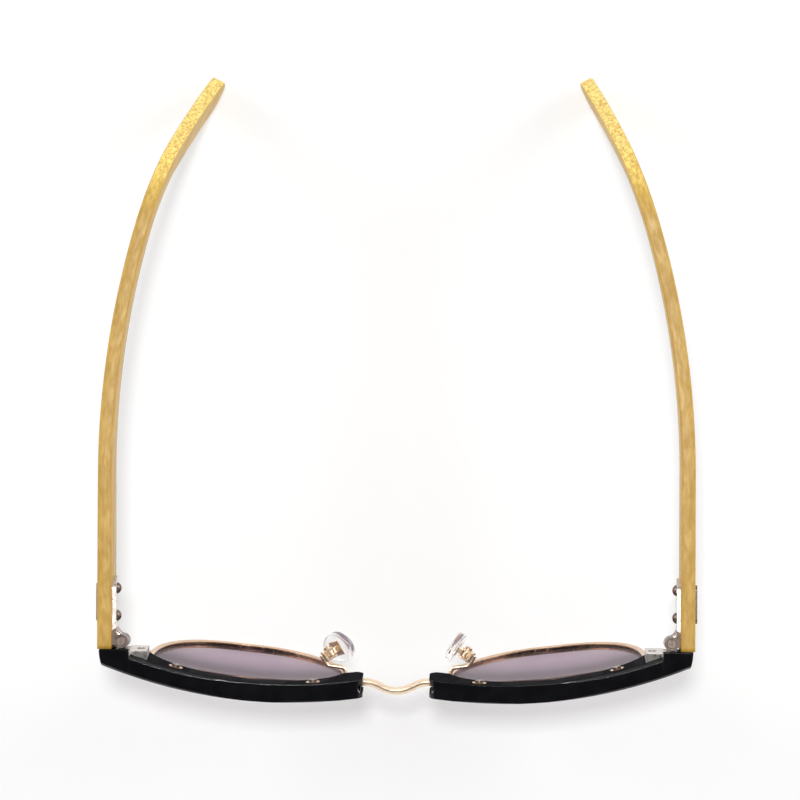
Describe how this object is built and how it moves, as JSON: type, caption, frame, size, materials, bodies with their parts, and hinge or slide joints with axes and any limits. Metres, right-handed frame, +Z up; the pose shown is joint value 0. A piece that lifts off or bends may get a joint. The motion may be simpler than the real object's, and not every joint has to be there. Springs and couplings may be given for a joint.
{
  "type": "wooden sunglasses",
  "caption": "Browline sunglasses with black brow bars over thin gold metal rims, smoky lenses, nose pads on wire arms and curved bamboo temples that fold on barrel hinges",
  "frame": {"origin": "On the surface that the pair stands on, as worn, below the middle of its box", "axes": "+Z is up, the front faces -Y, the temples run back along +Y, and +X is the right side seen from above with the temples upwards"},
  "size_m": [0.1442, 0.1532, 0.047],
  "materials": {
    "black_plastic": "polished black acetate",
    "gold_metal": "polished gold plating",
    "smoke_lens": "smoky gradient tint",
    "steel": "nickel plated",
    "clear_pad": "clear",
    "bamboo": "oiled bamboo",
    "bronze_metal": "dark bronze"
  },
  "bodies": {
    "front": {"brow_left": "black_plastic", "brow_right": "black_plastic", "rim_left": "gold_metal", "rim_right": "gold_metal", "lens_left": "smoke_lens", "lens_right": "smoke_lens", "bridge": "gold_metal", "brow_screws": "steel", "rim_screw_left": "steel", "rim_screw_right": "steel", "hinge_front_left": "steel", "hinge_front_right": "steel", "hinge_plate_screws": "steel", "pad_arm_left": "gold_metal", "pad_arm_right": "gold_metal", "pad_screw_left": "gold_metal", "pad_screw_right": "gold_metal"},
    "pad_left": {"pad_stem_left": "gold_metal", "nose_pad_left": "clear_pad"},
    "pad_right": {"pad_stem_right": "gold_metal", "nose_pad_right": "clear_pad"},
    "temple_left": {"temple_left": "bamboo", "hinge_leaf_left": "steel", "hinge_screw_left": "steel", "plaque_left": "bronze_metal", "rivet_caps_left": "steel"},
    "temple_right": {"temple_right": "bamboo", "hinge_leaf_right": "steel", "hinge_screw_right": "steel", "plaque_right": "bronze_metal", "rivet_caps_right": "steel"}
  },
  "joints": [
    {"name": "temple_left_fold", "type": "hinge", "parent": "front", "child": "temple_left", "pos_m": [-0.066, -0.0621, 0.04062], "axis": [0, 0, -1], "range_deg": [0, 82.5]},
    {"name": "temple_right_fold", "type": "hinge", "parent": "front", "child": "temple_right", "pos_m": [0.066, -0.0621, 0.04062], "axis": [0, 0, 1], "range_deg": [0, 66]},
    {"name": "pad_left_rock", "type": "hinge", "parent": "front", "child": "pad_left", "pos_m": [-0.0166, -0.06603, 0.02538], "axis": [-0.515, 0.8488, 0.1193], "range_deg": [-10, 10]},
    {"name": "pad_right_rock", "type": "hinge", "parent": "front", "child": "pad_right", "pos_m": [0.0166, -0.06603, 0.02538], "axis": [0.515, 0.8488, 0.1193], "range_deg": [-10, 10]}
  ]
}
